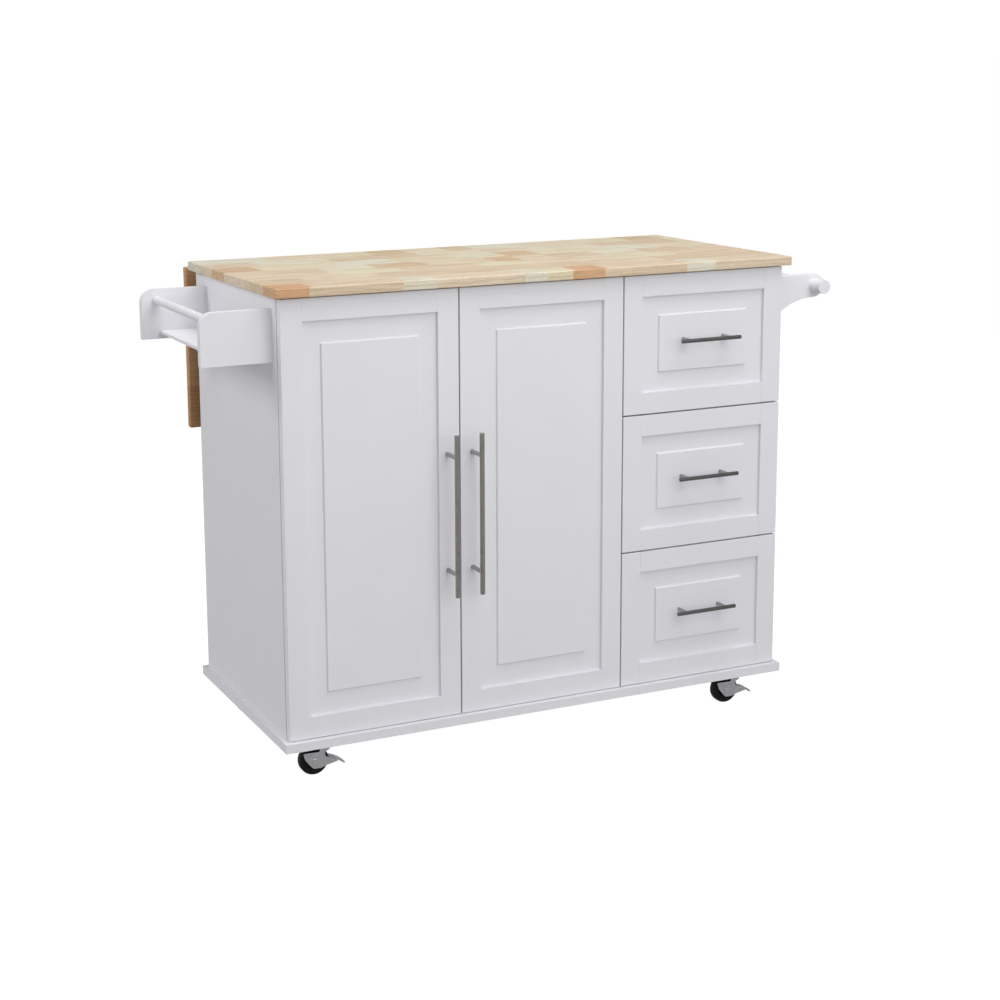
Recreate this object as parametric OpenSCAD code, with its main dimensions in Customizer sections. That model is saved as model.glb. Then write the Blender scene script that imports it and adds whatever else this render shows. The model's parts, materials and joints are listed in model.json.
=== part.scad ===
// Kitchen island cart: a white cabinet on four swivel casters, with a pair of doors, three drawers,
// a solid wood top, a drop leaf at the back, a spice rack on the left and a towel bar on the right.
// +X is to the right when facing the doors, +Y goes from the doors to the leaf, +Z is up.
// The origin is on the floor, under the centre of the whole object's box.

/* [Cabinet] */
// Width of the cabinet across its side panels
body_w = 1076; // [1000:1:1150]
// Depth from the door fronts to the back panel
body_d = 490; // [440:1:560]
// Height from the base board to the tabletop
body_h = 834; // [780:1:880]
// Thickness of the carcass panels
panel_t = 15; // [12:1:18]
// Thickness of the back panel
back_t = 9; // [5:1:12]
// Thickness of the base board
base_t = 18; // [15:1:22]
// How far the base board stands out all round
base_lip = 10; // [4:1:14]
// Thickness of the loose shelf behind the doors
shelf_t = 15; // [12:1:18]
// Height of the shelf's underside above the base board
shelf_up = 410; // [200:10:560]

/* [Tabletop and leaf] */
// Width of the tabletop
top_w = 1100; // [1080:1:1180]
// Depth of the tabletop
top_d = 520; // [500:1:600]
// Thickness of the tabletop and the leaf
top_t = 18; // [16:1:25]
// How far the tabletop stands out in front of the doors
top_front = 15; // [5:1:25]
// Depth of the drop leaf
leaf_d = 332; // [310:1:380]
// Distance of the leaf's hinge axis behind the tabletop
leaf_axis_out = 10; // [9:0.5:12]
// Depth of the leaf's hinge axis below the tabletop
leaf_axis_down = 6; // [6:0.5:8]

/* [Doors and drawer fronts] */
// Thickness of the doors and drawer fronts
front_t = 18; // [16:1:20]
// Gap between neighbouring fronts
gap = 3; // [2:0.5:4]
// Width of the stiles and rails
frame_w = 42; // [40:1:55]
// Centre of the gap between the two doors
door_gap_x = -183; // [-200:1:-160]
// Centre of the gap between the right door and the drawers
drawer_gap_x = 170.5; // [150:0.5:200]
// Depth of the recess round the raised field
recess = 7.5; // [4:0.5:8]
// Height of the raised field above the recess
field_h = 4.5; // [2:0.5:5]
// Margin round the raised field on the doors' sides
door_margin = 36; // [20:1:50]
// Margin above and below the raised field on the doors
door_margin_z = 42; // [20:1:60]
// Margin round the raised field on the drawers
drawer_margin = 38; // [20:1:44]

/* [Handles] */
// Diameter of the doors' bar handles
door_bar_d = 9.5; // [9:0.5:14]
// Length of the doors' bar handles
door_bar = 313; // [280:1:360]
// Screw spacing of the doors' handles
door_bar_screws = 226; // [160:1:256]
// Distance of the doors' bars from the doors, to the centre line
door_bar_out = 42; // [30:1:44]
// Diameter of the drawers' bar handles
drawer_bar_d = 8; // [8:0.5:14]
// Length of the drawers' bar handles
drawer_bar = 136; // [130:1:180]
// Screw spacing of the drawers' handles
drawer_bar_screws = 92; // [64:1:128]
// Distance of the drawers' bars from the drawer fronts, to the centre line
drawer_bar_out = 28; // [26:1:40]

/* [Spice rack and towel bar] */
// How far the rack and the towel brackets stand out from the sides
side_reach = 135; // [110:1:160]
// Height of the spice rack's end plates
rack_h = 98; // [80:1:120]
// Height of the spice rack's lower edge above the base board
rack_up = 712; // [650:1:720]
// Diameter of the spice rack's dowel
rack_dowel_d = 16; // [10:1:18]
// Diameter of the towel bar
towel_bar_d = 28; // [20:1:30]

/* [Casters] */
// Height from the floor to the base board
caster_h = 71; // [68:1:80]
// Diameter of the wheels
wheel_d = 58; // [50:1:58]
// Width of the wheels
wheel_w = 20; // [18:1:22]
// How far the wheel trails behind its stem
trail = 12; // [12:1:20]

/* [Hidden] */

// Colours
paint = "#e4e6e9";
rubberwood = "#dcbd92";
steel = "#9a9b9d";
nickel = "#a39a90";
black = "#1b1c1e";

// Fine curves, and small clearances
$fn = 64;
joint_line = 0.1; // between boards that are glued edge to edge
slip = 0.05;      // round a pin or screw that stays where it is
running = 0.08;   // round a pin that something turns on
eps = 1;          // how far a cutting solid passes through a face

// Main levels and planes
base_z = caster_h;
floor_z = base_z + base_t;
top_z = floor_z + body_h;
side_x = body_w / 2;
inner_x = side_x - panel_t;
partition_x = drawer_gap_x - panel_t / 2;
carcass_y = front_t + 1;
stretcher_w = 80;
shelf_front = 60;
shelf_pin_y = [90, 430];
shelf_pin_r = 2.5;
shelf_pin_half = 7.5;
top_back = top_d - top_front;

// The origin's place: under the middle of the box from the handles to the leaf
front_reach = door_bar_out + door_bar_d / 2;
leaf_clear = 0.3;
leaf_inner_y = top_back + leaf_axis_out + leaf_axis_down + leaf_clear;
back_reach = leaf_inner_y + top_t;
front_y = -(back_reach - front_reach) / 2;

// Doors and drawer fronts
front_bottom = floor_z + gap / 2;
front_top = top_z - gap;
front_left = -side_x + gap / 2;
front_right = side_x - gap / 2;
door_h = front_top - front_bottom;
door_left_w = door_gap_x - gap / 2 - front_left;
door_right_x = door_gap_x + gap / 2;
door_right_w = drawer_gap_x - gap / 2 - door_right_x;
drawer_x = drawer_gap_x + gap / 2;
drawer_w = front_right - drawer_x;
drawer_h = (door_h - 2 * gap) / 3;
function drawer_z(i) = front_bottom + i * (drawer_h + gap);

// Panels in their frames
panel_back = 15;
tongue = 3.5;
tongue_front = 8.5;
tongue_t = 4;
bevel = 1.5;

// Handles
bar_inset = 24.5;
door_bar_z = floor_z + 405;
drawer_bar_lift = 6;
post_d = 9;
screw_d = 4;
screw_head_d = 8;
screw_head_h = 2;

// Concealed hinges
hinge_z = [front_bottom + 110, front_top - 110];
cup_d = 35;
cup_depth = 12;
cup_inset = 20.5;
flange_t = 0.8;

// Drawer boxes and slides
box_t = 12;
box_h = 180;
box_up = 25;
box_depth = 400;
box_bottom_t = 6;
box_bottom_up = 8;
slide_space = 13;
slide_h = 45;
slide_len = 400;
sheet = 1.2;
slide_nest = 3.5;
slide_depth = 10;

// Spice rack and towel bar
rack_z = floor_z + rack_up;
rack_front = 42;
rack_back = 434;
rack_corner = 26;
rack_shelf_in = 36;
rack_shelf_t = 6;
rack_shelf_up = 10.5;
dowel_in = 31;
dowel_down = 21;
dowel_socket = 8;
bracket_r = 24;
bracket_z = top_z - 53;
bracket_foot = bracket_z - 76;
bracket_y = 45;
bar_end = 10;

// Leaf hinges and stays
leaf_axis_y = top_back + leaf_axis_out;
leaf_axis_z = top_z - leaf_axis_down;
leaf_gap = 0.5;
leaf_top = leaf_axis_z + leaf_axis_out - leaf_gap;
hinge_x = [-400, 0, 400];
hinge_w = 70;
flap_t = 2;
flap_d = 46;
knuckle_r = 5;
knuckle_w = 20;
leaf_pin_r = 2.5;
stay_x = 300;
stay_t = 3;
stay_w = 14;
stay_pivot_y = leaf_axis_y - 4;
stay_pivot_z = leaf_axis_z - 115;
stay_len = 185.3;
stay_pin_r = 3;
catch_z = top_z - 147;
catch_out = 3.5;

// Casters
caster_x = side_x - 76;
caster_y = [50, 424];
wheel_r = wheel_d / 2;
plate_side = 44;
plate_t = 2.5;
plate_screw = 16;
crown_top = base_z - 6;
crown_t = 2;
crown_half = 16;
fork_t = 2;
fork_inner = wheel_w / 2 + 2;
kingpin_r = 4;
race_r = 13;
axle_r = 4;
pedal_x = 34 - trail;
pedal_z = wheel_r - 2;
pedal_pin_r = 2;
pedal_barrel_r = 3.5;
pedal_w = 16;

// --- helpers ---

// Moves a piece from the doors' plane to the object's own frame, in one colour.
module placed(c) translate([0, front_y, 0]) color(c) children();

// A box between two corners.
module slab(a, b) translate(a) cube(b - a);

// A round rod along Y from y0 to y1.
module rod_y(x, z, y0, y1, r) translate([x, y1, z]) rotate([90, 0, 0]) cylinder(r = r, h = y1 - y0);

// A round rod along X from x0 to x1.
module rod_x(y, z, x0, x1, r) translate([x0, y, z]) rotate([0, 90, 0]) cylinder(r = r, h = x1 - x0);

// An outline in X and Z, stood up from y0 to y1.
module upright(y0, y1) translate([0, y1, 0]) rotate([90, 0, 0]) linear_extrude(y1 - y0) children();

// --- carcass ---

// The four pins that the shelf lies on, or their holes with a clearance round them.
module pins(extra) {
    for (x = [-inner_x, partition_x], y = shelf_pin_y)
        rod_x(y, floor_z + shelf_up - shelf_pin_r, x - shelf_pin_half - extra, x + shelf_pin_half + extra,
            shelf_pin_r + extra);
}

module side_panel(sx) {
    difference() {
        translate([sx < 0 ? -side_x : inner_x, carcass_y, floor_z])
            cube([panel_t, body_d - carcass_y, body_h]);
        if (sx < 0) pins(slip);
    }
}

module side_panel_left() placed(paint) side_panel(-1);
module side_panel_right() placed(paint) side_panel(1);

module partition_panel() placed(paint) {
    difference() {
        slab([partition_x, carcass_y, floor_z], [partition_x + panel_t, body_d - back_t, top_z]);
        pins(slip);
    }
}

module back_panel() placed(paint) slab([-inner_x, body_d - back_t, floor_z], [inner_x, body_d, top_z]);

module base_board() placed(paint) {
    difference() {
        slab([-side_x - base_lip, -base_lip, base_z], [side_x + base_lip, body_d + base_lip, floor_z]);
        at_caster_screws() translate([0, 0, -eps]) cylinder(r = screw_d / 2 + slip, h = 14 + eps);
    }
}

// Two stretchers that tie the sides together and carry the tabletop's screws.
module top_rails() placed(paint) {
    for (span = [[-inner_x, partition_x], [partition_x + panel_t, inner_x]])
        for (y = [carcass_y, body_d - back_t - stretcher_w])
            slab([span[0], y, top_z - panel_t], [span[1], y + stretcher_w, top_z]);
}

module shelf() placed(paint) translate([-inner_x + 1, shelf_front, floor_z + shelf_up])
    cube([partition_x + inner_x - 2, body_d - back_t - 2 - shelf_front, shelf_t]);

module shelf_pins() placed(steel) pins(0);

module tabletop() placed(rubberwood)
    slab([-top_w / 2, -top_front, top_z], [top_w / 2, top_back, top_z + top_t]);

// --- spice rack and towel bar ---

module rack_outline() {
    x0 = -side_x - side_reach;
    difference() {
        translate([x0, rack_z]) square([side_reach, rack_h]);
        translate([x0, rack_z + rack_h - rack_corner]) difference() {
            translate([-eps, 0]) square([rack_corner + eps, rack_corner + eps]);
            translate([rack_corner, 0]) circle(r = rack_corner);
        }
    }
}

module rack_plate(y0, y1) {
    difference() {
        upright(y0, y1) rack_outline();
        dowel(slip, dowel_socket + slip);
    }
}

// The dowel along the rack's outer edge, with its ends let into the plates.
module dowel(extra, socket) {
    rod_y(-side_x - side_reach + dowel_in, rack_z + rack_h - dowel_down,
        rack_front + panel_t - socket, rack_back - panel_t + socket, rack_dowel_d / 2 + extra);
}

module spice_rack_front_plate() placed(paint) rack_plate(rack_front, rack_front + panel_t);
module spice_rack_rear_plate() placed(paint) rack_plate(rack_back - panel_t, rack_back);
module spice_rack_dowel() placed(paint) dowel(0, dowel_socket);

module spice_rack_shelf() placed(paint)
    slab([-side_x - side_reach + rack_shelf_in, rack_front + panel_t, rack_z + rack_shelf_up],
        [-side_x, rack_back - panel_t, rack_z + rack_shelf_up + rack_shelf_t]);

// A bracket with a round nose and a hollow underside that sweeps down to the cabinet.
module bracket_outline() {
    nose_x = side_x + side_reach - bracket_r;
    reach = nose_x - side_x;
    drop = bracket_z - bracket_r - bracket_foot;
    sweep_r = (reach * reach + drop * drop) / (2 * drop);
    translate([nose_x, bracket_z]) circle(r = bracket_r);
    difference() {
        translate([side_x, bracket_foot]) square([reach, bracket_z + bracket_r - bracket_foot]);
        translate([nose_x, bracket_z - bracket_r - sweep_r]) circle(r = sweep_r, $fn = 128);
    }
}

module towel_brackets() placed(paint) {
    for (y = [bracket_y, body_d - bracket_y - panel_t]) difference() {
        upright(y, y + panel_t) bracket_outline();
        rod_y(side_x + side_reach - bracket_r, bracket_z, y - eps, y + panel_t + eps, towel_bar_d / 2 + slip);
    }
}

module towel_bar() placed(paint)
    rod_y(side_x + side_reach - bracket_r, bracket_z, bar_end, body_d - bar_end, towel_bar_d / 2);

// --- doors and drawer fronts ---

// A board with a bevelled edge, from the plane y0 forward by h.
module raised_field(x0, z0, w, h_z, y0, h) {
    intersection() {
        translate([x0, y0, z0]) linear_extrude(h_z)
            polygon([[0, eps], [0, 0], [bevel, -h], [w - bevel, -h], [w, 0], [w, eps]]);
        translate([x0, y0, z0]) rotate([90, 0, 90]) linear_extrude(w)
            polygon([[eps, 0], [0, 0], [-h, bevel], [-h, h_z - bevel], [0, h_z], [eps, h_z]]);
    }
}

// The panel's tongue, which the stiles and rails are grooved for.
module panel_tongue(x, z, w, h, extra) {
    in = frame_w - tongue - extra;
    translate([x + in, tongue_front - extra, z + in]) cube([w - 2 * in, tongue_t + 2 * extra, h - 2 * in]);
}

// Two stiles at full height and two rails between them, grooved for the panel.
module frame(x, z, w, h) {
    difference() {
        union() {
            for (sx = [x, x + w - frame_w]) slab([sx, 0, z], [sx + frame_w, front_t, z + h]);
            for (rz = [z, z + h - frame_w])
                translate([x + frame_w + joint_line, 0, rz])
                    cube([w - 2 * (frame_w + joint_line), front_t, frame_w]);
        }
        panel_tongue(x, z, w, h, joint_line);
    }
}

// The panel that floats in the frame, with its raised field.
module panel(x, z, w, h, margin_x, margin_z) {
    in = frame_w + joint_line;
    slab([x + in, recess, z + in], [x + w - in, panel_back, z + h - in]);
    panel_tongue(x, z, w, h, 0);
    raised_field(x + in + margin_x, z + in + margin_z, w - 2 * (in + margin_x), h - 2 * (in + margin_z),
        recess, field_h);
}

// A bar handle on two posts with its two screws; the bar runs along Z.
module bar_handle(length, spacing, bar_d, out, seat, inside) {
    post_r = min(post_d, bar_d - 1) / 2;
    difference() {
        union() {
            translate([0, -out, -length / 2]) cylinder(d = bar_d, h = length);
            for (z = [-1, 1]) rod_y(0, z * spacing / 2, -out, seat, post_r);
        }
        for (z = [-1, 1]) rod_y(0, z * spacing / 2, seat - 12, seat + eps, screw_d / 2 + slip);
    }
    for (z = [-1, 1]) {
        rod_y(0, z * spacing / 2, seat - 11, inside + 0.5, screw_d / 2);
        rod_y(0, z * spacing / 2, inside, inside + screw_head_h, screw_head_d / 2);
    }
}

module handle_holes(spacing) {
    for (z = [-1, 1]) rod_y(0, z * spacing / 2, -eps, front_t + 2 * box_t, screw_d / 2 + slip);
}

// side is -1 where the hinges are on the left edge, and 1 where they are on the right.
module door_frame(x, w, side) {
    edge = side < 0 ? x : x + w;
    difference() {
        frame(x, front_bottom, w, door_h);
        for (z = hinge_z)
            rod_y(edge - side * cup_inset, z, front_t - cup_depth, front_t + eps, cup_d / 2);
        at_door_handle(side) handle_holes(door_bar_screws);
    }
}

module at_door_handle(side)
    translate([door_gap_x + side * (gap / 2 + bar_inset), 0, door_bar_z]) children();

// The steel cups of the concealed hinges, each with its flange on the door's inner face.
module hinge_cups(x, w, side) {
    edge = side < 0 ? x : x + w;
    for (z = hinge_z) translate([edge - side * cup_inset, 0, z]) {
        difference() {
            union() {
                rod_y(0, 0, front_t - cup_depth + slip, front_t + flange_t, cup_d / 2 - slip);
                slab([-cup_d / 2 + 1, front_t, -26], [cup_d / 2 - 1, front_t + flange_t, 26]);
            }
            rod_y(0, 0, front_t - cup_depth + sheet, front_t + flange_t + eps, cup_d / 2 - sheet);
        }
    }
}

// The fixed arms of the concealed hinges, on the side panel and on the partition.
module door_hinge_arms() placed(steel) {
    for (face = [[-inner_x, 1], [partition_x, -1]], z = hinge_z) translate([face[0], 0, z]) {
        x1 = face[1] * 3;
        x2 = face[1] * 12;
        slab([min(0, x1), 46, -24], [max(0, x1), 66, 24]);
        slab([min(0, x1), carcass_y + 8, -7], [max(0, x1), 86, 7]);
        slab([min(x1, x2), carcass_y + 2, -6], [max(x1, x2), 76, 6]);
    }
}

module door_left_frame() placed(paint) door_frame(front_left, door_left_w, -1);
module door_left_panel() placed(paint)
    panel(front_left, front_bottom, door_left_w, door_h, door_margin, door_margin_z);
module door_left_handle() placed(nickel)
    at_door_handle(-1) bar_handle(door_bar, door_bar_screws, door_bar_d, door_bar_out, 0, front_t);
module door_left_hinge_cups() placed(steel) hinge_cups(front_left, door_left_w, -1);

module door_right_frame() placed(paint) door_frame(door_right_x, door_right_w, 1);
module door_right_panel() placed(paint)
    panel(door_right_x, front_bottom, door_right_w, door_h, door_margin, door_margin_z);
module door_right_handle() placed(nickel)
    at_door_handle(1) bar_handle(door_bar, door_bar_screws, door_bar_d, door_bar_out, 0, front_t);
module door_right_hinge_cups() placed(steel) hinge_cups(door_right_x, door_right_w, 1);

// --- drawers ---

box_x0 = partition_x + panel_t + slide_space;
box_x1 = inner_x - slide_space;

module at_drawer_handle(i)
    translate([drawer_x + drawer_w / 2, 0, drawer_z(i) + drawer_h / 2 + drawer_bar_lift]) rotate([0, 90, 0])
        children();

module drawer_frame(i) frame(drawer_x, drawer_z(i), drawer_w, drawer_h);

module drawer_panel(i) {
    difference() {
        panel(drawer_x, drawer_z(i), drawer_w, drawer_h, drawer_margin, drawer_margin);
        at_drawer_handle(i) handle_holes(drawer_bar_screws);
    }
}

// Five boards: two sides, an inner front, a back and a bottom.
module drawer_box(i) {
    z0 = drawer_z(i) + box_up;
    z1 = z0 + box_h;
    y0 = front_t;
    y1 = y0 + box_depth;
    for (x = [box_x0, box_x1 - box_t]) slab([x, y0, z0], [x + box_t, y1, z1]);
    x0 = box_x0 + box_t + joint_line;
    x1 = box_x1 - box_t - joint_line;
    difference() {
        slab([x0, y0, z0], [x1, y0 + box_t, z1]);
        at_drawer_handle(i) handle_holes(drawer_bar_screws);
    }
    slab([x0, y1 - box_t, z0], [x1, y1, z1]);
    translate([x0, y0 + box_t + joint_line, z0 + box_bottom_up])
        cube([x1 - x0, box_depth - 2 * (box_t + joint_line), box_bottom_t]);
}

// A steel channel along Y whose open side faces dir.
module channel(x_web, dir, depth, z, h, y0, y1) {
    x_lip = x_web + dir * depth;
    x_in = x_web + dir * sheet;
    slab([min(x_web, x_in), y0, z - h / 2], [max(x_web, x_in), y1, z + h / 2]);
    for (s = [-1, 1]) {
        z_out = z + s * h / 2;
        z_in = z_out - s * sheet;
        slab([min(x_web, x_lip), y0, min(z_out, z_in)], [max(x_web, x_lip), y1, max(z_out, z_in)]);
    }
}

function slide_z(i) = drawer_z(i) + box_up + box_h / 2;

module drawer_rails() placed(steel) {
    y0 = carcass_y + 2;
    for (i = [0:2]) {
        channel(partition_x + panel_t, 1, slide_depth, slide_z(i), slide_h, y0, y0 + slide_len);
        channel(inner_x, -1, slide_depth, slide_z(i), slide_h, y0, y0 + slide_len);
    }
}

module drawer_runners(i) {
    h = slide_h - 2 * (sheet + slide_nest);
    channel(box_x0, -1, slide_depth, slide_z(i), h, carcass_y + 2, front_t + slide_len);
    channel(box_x1, 1, slide_depth, slide_z(i), h, carcass_y + 2, front_t + slide_len);
}

module drawer_handle(i) at_drawer_handle(i)
    bar_handle(drawer_bar, drawer_bar_screws, drawer_bar_d, drawer_bar_out, recess - field_h,
        front_t + box_t);

module drawer_top_frame() placed(paint) drawer_frame(2);
module drawer_top_panel() placed(paint) drawer_panel(2);
module drawer_top_box() placed(paint) drawer_box(2);
module drawer_top_runners() placed(steel) drawer_runners(2);
module drawer_top_handle() placed(nickel) drawer_handle(2);
module drawer_middle_frame() placed(paint) drawer_frame(1);
module drawer_middle_panel() placed(paint) drawer_panel(1);
module drawer_middle_box() placed(paint) drawer_box(1);
module drawer_middle_runners() placed(steel) drawer_runners(1);
module drawer_middle_handle() placed(nickel) drawer_handle(1);
module drawer_bottom_frame() placed(paint) drawer_frame(0);
module drawer_bottom_panel() placed(paint) drawer_panel(0);
module drawer_bottom_box() placed(paint) drawer_box(0);
module drawer_bottom_runners() placed(steel) drawer_runners(0);
module drawer_bottom_handle() placed(nickel) drawer_handle(0);

// --- drop leaf ---

module leaf_board() placed(rubberwood)
    slab([-top_w / 2, leaf_inner_y, leaf_top - leaf_d], [top_w / 2, leaf_inner_y + top_t, leaf_top]);

module knuckle(x0, x1) difference() {
    rod_x(leaf_axis_y, leaf_axis_z, x0, x1, knuckle_r);
    rod_x(leaf_axis_y, leaf_axis_z, x0 - eps, x1 + eps, leaf_pin_r + slip);
}

// The halves under the tabletop, each with two outer knuckles, and their pins.
module leaf_hinge_plates() placed(steel) {
    for (hx = hinge_x) {
        x0 = hx - hinge_w / 2;
        x1 = hx + hinge_w / 2;
        slab([x0, body_d + 1, top_z - flap_t], [x1, leaf_axis_y - 7, top_z]);
        for (x = [x0, x1 - knuckle_w]) {
            slab([x, leaf_axis_y - 8, top_z - flap_t], [x + knuckle_w, leaf_axis_y, top_z]);
            knuckle(x, x + knuckle_w);
        }
        rod_x(leaf_axis_y, leaf_axis_z, x0, x1, leaf_pin_r);
    }
}

// The halves on the leaf, each with one middle knuckle.
module leaf_hinge_flaps() placed(steel) {
    for (hx = hinge_x) {
        half = hinge_w / 2 - knuckle_w - 0.5;
        flap_top = leaf_axis_z - knuckle_r - 1;
        slab([hx - hinge_w / 2, leaf_inner_y - flap_t, leaf_axis_z - flap_d],
            [hx + hinge_w / 2, leaf_inner_y, flap_top]);
        slab([hx - half, leaf_inner_y - flap_t, flap_top - 1], [hx + half, leaf_inner_y, leaf_axis_z]);
        knuckle(hx - half, hx + half);
    }
}

// The ears on the leaf that the stays turn on, each with its rivet.
module leaf_stay_mounts() placed(steel) {
    for (x = [-stay_x, stay_x]) {
        slab([x - 12, leaf_inner_y - flap_t, stay_pivot_z - 16], [x + 12, leaf_inner_y, stay_pivot_z + 16]);
        slab([x, stay_pivot_y, stay_pivot_z - 8], [x + stay_t, leaf_inner_y - flap_t, stay_pivot_z + 8]);
        rod_x(stay_pivot_y, stay_pivot_z, x, x + stay_t, 8);
        rod_x(stay_pivot_y, stay_pivot_z, x, x + 2 * stay_t + 1.5, stay_pin_r);
        rod_x(stay_pivot_y, stay_pivot_z, x + 2 * stay_t + 0.6, x + 2 * stay_t + 2.6, stay_pin_r + 2);
    }
}

module stay(x) {
    x0 = x + stay_t + 0.3;
    difference() {
        union() {
            for (z = [stay_pivot_z, stay_pivot_z - stay_len])
                rod_x(stay_pivot_y, z, x0, x0 + stay_t, stay_w / 2);
            slab([x0, stay_pivot_y - stay_w / 2, stay_pivot_z - stay_len],
                [x0 + stay_t, stay_pivot_y + stay_w / 2, stay_pivot_z]);
        }
        rod_x(stay_pivot_y, stay_pivot_z, x0 - eps, x0 + stay_t + eps, stay_pin_r + running);
    }
}

module leaf_stay_left() placed(steel) stay(-stay_x);
module leaf_stay_right() placed(steel) stay(stay_x);

// The catches on the back panel that the stays' free ends drop onto.
module leaf_stay_catches() placed(steel) {
    for (x = [-stay_x, stay_x]) {
        slab([x - 10, body_d, catch_z - 40], [x + 20, body_d + 2, catch_z - 12]);
        slab([x - 2, body_d, catch_z - 20], [x + 12, body_d + catch_out, catch_z]);
    }
}

// --- casters ---

module at_casters() for (x = [-caster_x, caster_x], y = caster_y) translate([x, y, 0]) children();

// The four corners round a stem where a plate's screws go.
module at_plate_screws()
    for (x = [-plate_screw, plate_screw], y = [-plate_screw, plate_screw]) translate([x, y, base_z])
        children();

module at_caster_screws() at_casters() at_plate_screws() children();

// The plates under the base board, each with its ball race and its kingpin.
module caster_plates() placed(steel) {
    at_casters() {
        difference() {
            translate([0, 0, base_z - plate_t / 2]) cube([plate_side, plate_side, plate_t], center = true);
            at_plate_screws() translate([0, 0, -plate_t - eps])
                cylinder(r = screw_d / 2 + slip, h = plate_t + 2 * eps);
        }
        translate([0, 0, crown_top + 0.4]) cylinder(r = race_r, h = base_z - plate_t - crown_top - 0.4);
        translate([0, 0, crown_top - crown_t - 1.4]) cylinder(r = kingpin_r, h = 5);
        translate([0, 0, crown_top - crown_t - 1.4]) cylinder(r = kingpin_r + 2.5, h = 1.2);
    }
}

module caster_screws() placed(steel) at_caster_screws() {
    translate([0, 0, -plate_t - 0.5]) cylinder(d = screw_d, h = plate_t + 13);
    translate([0, 0, -plate_t - screw_head_h]) cylinder(d = screw_head_d, h = screw_head_h);
}

// The side of a fork: a shield below the wheel's top, with a neck up to the crown and a tail for the pedal.
module fork_side() {
    rise = crown_top - wheel_r;
    translate([-trail, wheel_r])
        polygon([[-24, 18], [9, 17.5], [12, rise], [30, rise], [29.5, 20], [23, 18], [19.5, 13], [22, 7],
            [28, 3], [36, 0.5], [45, -3.5], [46, -6.5], [38, -8], [19, -12], [11, -14.5], [2, -14],
            [-6.5, -10], [-12, -5], [-20, 5]]);
}

module fork(x, y, braked) translate([x, y, 0]) {
    difference() {
        union() {
            for (y0 = [-fork_inner - fork_t, fork_inner]) upright(y0, y0 + fork_t) fork_side();
            slab([-crown_half, -fork_inner - fork_t, crown_top - crown_t],
                [30 - trail, fork_inner + fork_t, crown_top]);
            if (braked) rod_y(pedal_x, pedal_z, -fork_inner - 1, fork_inner + 1, pedal_pin_r);
        }
        translate([0, 0, crown_top - crown_t - eps]) cylinder(r = kingpin_r + running, h = crown_t + 2 * eps);
        rod_y(-trail, wheel_r, -fork_inner - fork_t - eps, fork_inner + fork_t + eps, axle_r + slip);
    }
    rod_y(-trail, wheel_r, -fork_inner - fork_t - slip, fork_inner + fork_t + slip, axle_r);
    for (y0 = [-fork_inner - fork_t - slip - 1.5, fork_inner + fork_t + slip])
        rod_y(-trail, wheel_r, y0, y0 + 1.5, axle_r + 2);
}

// A wheel with a rounded tread and a sunk web between rim and hub.
module wheel(x, y) translate([x - trail, y, wheel_r]) rotate([90, 0, 0]) rotate_extrude($fn = 96)
    difference() {
        translate([axle_r + running, -wheel_w / 2]) square([wheel_r - axle_r - running, wheel_w]);
        for (s = [-1, 1]) {
            translate([14, s * wheel_w / 2]) square([10, 4], center = true);
            translate([wheel_r - 2.5, s * (wheel_w / 2 - 2.5)]) difference() {
                translate([0, s > 0 ? 0 : -3.5]) square([3.5, 3.5]);
                circle(r = 2.5);
            }
        }
    }

// A brake pedal that turns on the fork's cross pin and reaches out past the stem.
module brake_pedal(x) translate([x + pedal_x, caster_y[0], pedal_z]) {
    half = pedal_w / 2;
    difference() {
        union() {
            rod_y(0, 0, -half, half, pedal_barrel_r);
            upright(-half, half)
                polygon([[0, 3.5], [8, 2.5], [14.5, -0.5], [21, -4.5], [29, -11], [27.5, -14], [19.5, -8.5],
                    [13, -4.5], [7, -2], [0, -3.5]]);
        }
        rod_y(0, 0, -half - eps, half + eps, pedal_pin_r + running);
    }
}

module caster_fork_front_left() placed(steel) fork(-caster_x, caster_y[0], true);
module caster_fork_front_right() placed(steel) fork(caster_x, caster_y[0], true);
module caster_fork_back_left() placed(steel) fork(-caster_x, caster_y[1], false);
module caster_fork_back_right() placed(steel) fork(caster_x, caster_y[1], false);
module wheel_front_left() placed(black) wheel(-caster_x, caster_y[0]);
module wheel_front_right() placed(black) wheel(caster_x, caster_y[0]);
module wheel_back_left() placed(black) wheel(-caster_x, caster_y[1]);
module wheel_back_right() placed(black) wheel(caster_x, caster_y[1]);
module brake_pedal_left() placed(steel) brake_pedal(-caster_x);
module brake_pedal_right() placed(steel) brake_pedal(caster_x);

side_panel_left();
side_panel_right();
partition_panel();
back_panel();
base_board();
top_rails();
shelf();
shelf_pins();
tabletop();
spice_rack_front_plate();
spice_rack_rear_plate();
spice_rack_shelf();
spice_rack_dowel();
towel_brackets();
towel_bar();
drawer_rails();
door_hinge_arms();
leaf_hinge_plates();
leaf_stay_catches();
caster_plates();
caster_screws();
door_left_frame();
door_left_panel();
door_left_handle();
door_left_hinge_cups();
door_right_frame();
door_right_panel();
door_right_handle();
door_right_hinge_cups();
drawer_top_frame();
drawer_top_panel();
drawer_top_box();
drawer_top_runners();
drawer_top_handle();
drawer_middle_frame();
drawer_middle_panel();
drawer_middle_box();
drawer_middle_runners();
drawer_middle_handle();
drawer_bottom_frame();
drawer_bottom_panel();
drawer_bottom_box();
drawer_bottom_runners();
drawer_bottom_handle();
leaf_board();
leaf_hinge_flaps();
leaf_stay_mounts();
leaf_stay_left();
leaf_stay_right();
caster_fork_front_left();
caster_fork_front_right();
caster_fork_back_left();
caster_fork_back_right();
wheel_front_left();
wheel_front_right();
wheel_back_left();
wheel_back_right();
brake_pedal_left();
brake_pedal_right();
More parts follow.
